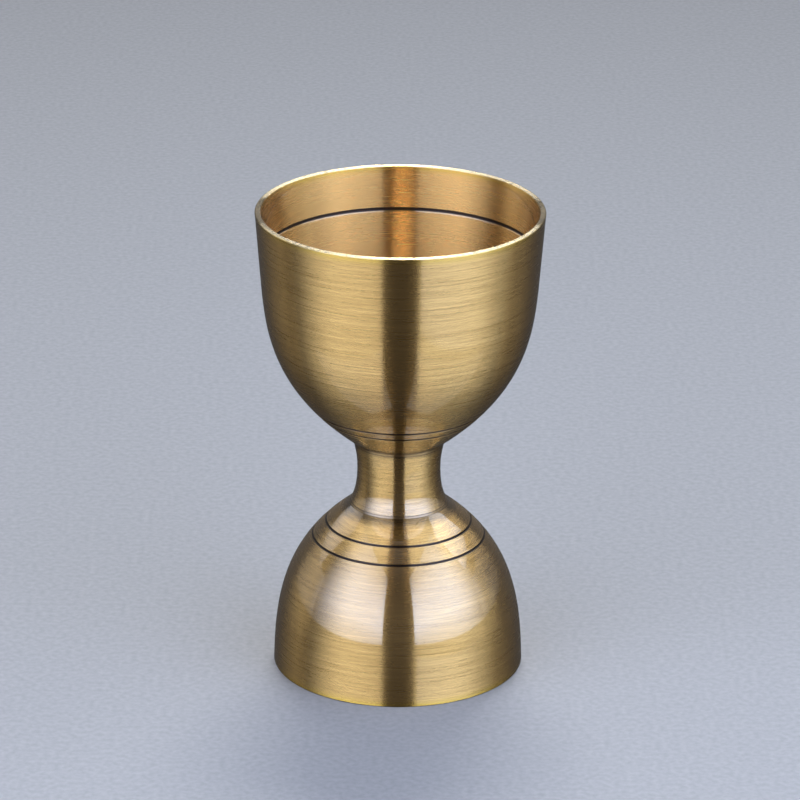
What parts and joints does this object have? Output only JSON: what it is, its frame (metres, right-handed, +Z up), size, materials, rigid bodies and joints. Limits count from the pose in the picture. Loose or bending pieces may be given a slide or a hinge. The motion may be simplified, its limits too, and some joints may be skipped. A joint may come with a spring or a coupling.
{
  "type": "bar jigger",
  "caption": "Double-ended bar measure: a large bell cup and a small bell cup joined bottom to bottom by a short narrow neck; it stands on either mouth.",
  "frame": {"origin": "centre of the small cup's mouth, on the surface the jigger stands on", "axes": "+Z up along the axis of both cups, from the small cup's mouth to the large cup's mouth; X and Y are free, because the part is a body of revolution"},
  "size_m": [0.0518, 0.0518, 0.0865],
  "materials": {
    "upper_cup": "circumferentially brushed antique-brass plating under clear lacquer, dark patina in the grooves",
    "lower_cup": "circumferentially brushed antique-brass plating under clear lacquer, dark patina in the grooves",
    "neck": "circumferentially brushed antique-brass plating under clear lacquer",
    "upper_weld": "weld metal ground flush, plated with the rest",
    "lower_weld": "weld metal ground flush, plated with the rest"
  },
  "bodies": {
    "root": {"upper_cup": "upper_cup", "lower_cup": "lower_cup", "neck": "neck", "upper_weld": "upper_weld", "lower_weld": "lower_weld"}
  },
  "joints": []
}
